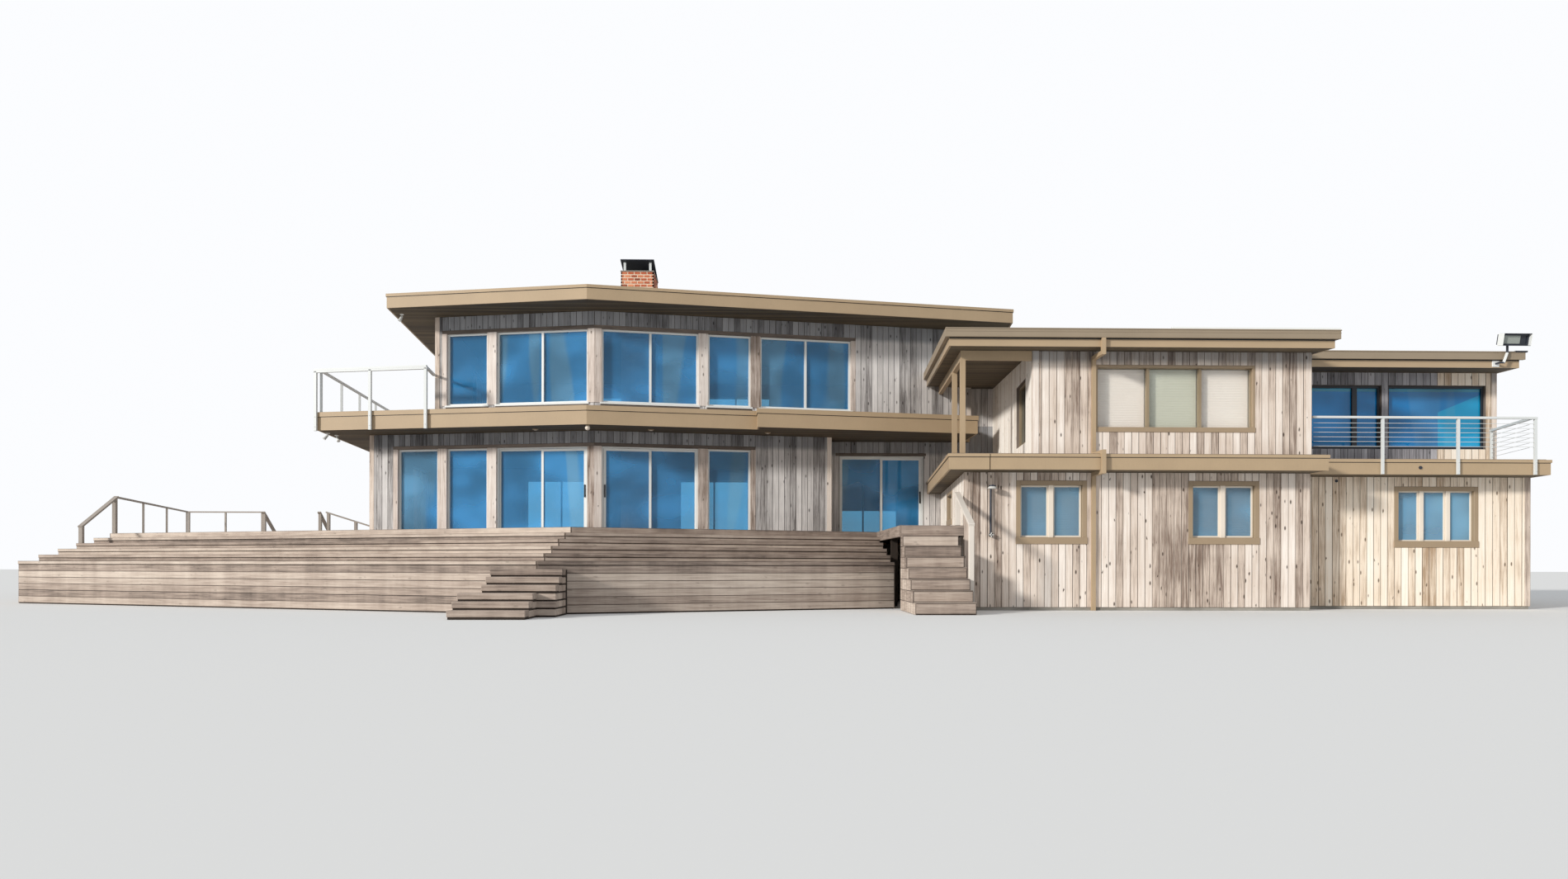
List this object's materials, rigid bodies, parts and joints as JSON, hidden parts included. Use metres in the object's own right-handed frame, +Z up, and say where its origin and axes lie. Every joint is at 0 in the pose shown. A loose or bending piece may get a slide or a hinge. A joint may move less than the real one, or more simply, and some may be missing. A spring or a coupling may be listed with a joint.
{
  "type": "beach house",
  "caption": "Two-storey beach house with a bent glazed front, a lower side wing with porch and end balcony, and a stepped timber deck.",
  "frame": {"origin": "middle of the house's bounding box, on its level base", "axes": "+Z up, +X along the house from the deck's left end to the end block, -Y is the front"},
  "size_m": [37.3298, 20.4994, 9.1942],
  "materials": {
    "cedar_boards": "weathered vertical cedar boards, matt",
    "tan_trim": "khaki paint, satin",
    "dark_soffit": "dark brown stained boards, matt",
    "white_frame": "white coated, satin",
    "blue_glass": "tinted, clear",
    "brick": null,
    "dark_metal": "dark coated sheet",
    "pale_metal": "pale grey, satin",
    "deck_boards": "weathered grey-brown decking",
    "concrete": null
  },
  "bodies": {
    "house": {"foundation_walls": "concrete", "pavilion_floor": "deck_boards", "corner_post": "cedar_boards", "door_heads": "cedar_boards", "left_facet_wall": "cedar_boards", "right_facet_wall": "cedar_boards", "recess_walls": "cedar_boards", "pavilion_end_walls": "cedar_boards", "pavilion_back_wall": "cedar_boards", "pavilion_upper_floor": "dark_soffit", "balcony_band": "tan_trim", "upper_left_wall": "cedar_boards", "upper_right_wall": "cedar_boards", "upper_end_walls": "cedar_boards", "upper_back_wall": "cedar_boards", "pavilion_roof": "dark_soffit", "roof_edge": "tan_trim", "chimney_stack": "brick", "chimney_cap": "dark_metal", "pavilion_frames": "white_frame", "door_frames": "white_frame", "pavilion_glass": "blue_glass", "balcony_railing": "pale_metal", "deck_platform": "deck_boards", "deck_posts": "deck_boards", "deck_steps": "deck_boards", "sand_steps": "deck_boards", "deck_railing": "deck_boards", "deck_stairs": "deck_boards", "side_steps": "deck_boards", "wing_floor": "concrete", "wing_front_wall": "cedar_boards", "end_front_wall": "cedar_boards", "wing_end_walls": "cedar_boards", "wing_back_wall": "cedar_boards", "wing_upper_floor": "dark_soffit", "wing_band": "tan_trim", "wing_upper_front_wall": "cedar_boards", "end_upper_front_wall": "cedar_boards", "wing_upper_end_walls": "cedar_boards", "wing_upper_back_wall": "cedar_boards", "porch_side_wall": "cedar_boards", "porch_back_wall": "cedar_boards", "porch_frame": "tan_trim", "wing_roof": "dark_soffit", "wing_roof_edge": "tan_trim", "end_roof": "dark_soffit", "end_roof_edge": "tan_trim", "downspout": "tan_trim", "wing_frames": "tan_trim", "wing_glass": "blue_glass", "end_railing": "pale_metal", "floodlight": "dark_metal", "shower": "dark_metal"},
    "door_1": {"door_1_panel": "white_frame", "door_1_glass": "blue_glass"},
    "door_2": {"door_2_panel": "white_frame", "door_2_glass": "blue_glass"},
    "door_3": {"door_3_panel": "white_frame", "door_3_glass": "blue_glass"}
  },
  "joints": [
    {"name": "door_1_slide", "type": "slide", "parent": "house", "child": "door_1", "axis": [-0.9808, 0.1951, 0], "range_m": [0, 1]},
    {"name": "door_2_slide", "type": "slide", "parent": "house", "child": "door_2", "axis": [0.9808, 0.1951, 0], "range_m": [0, 1]},
    {"name": "door_3_slide", "type": "slide", "parent": "house", "child": "door_3", "axis": [-1, 0, 0], "range_m": [0, 1]}
  ]
}
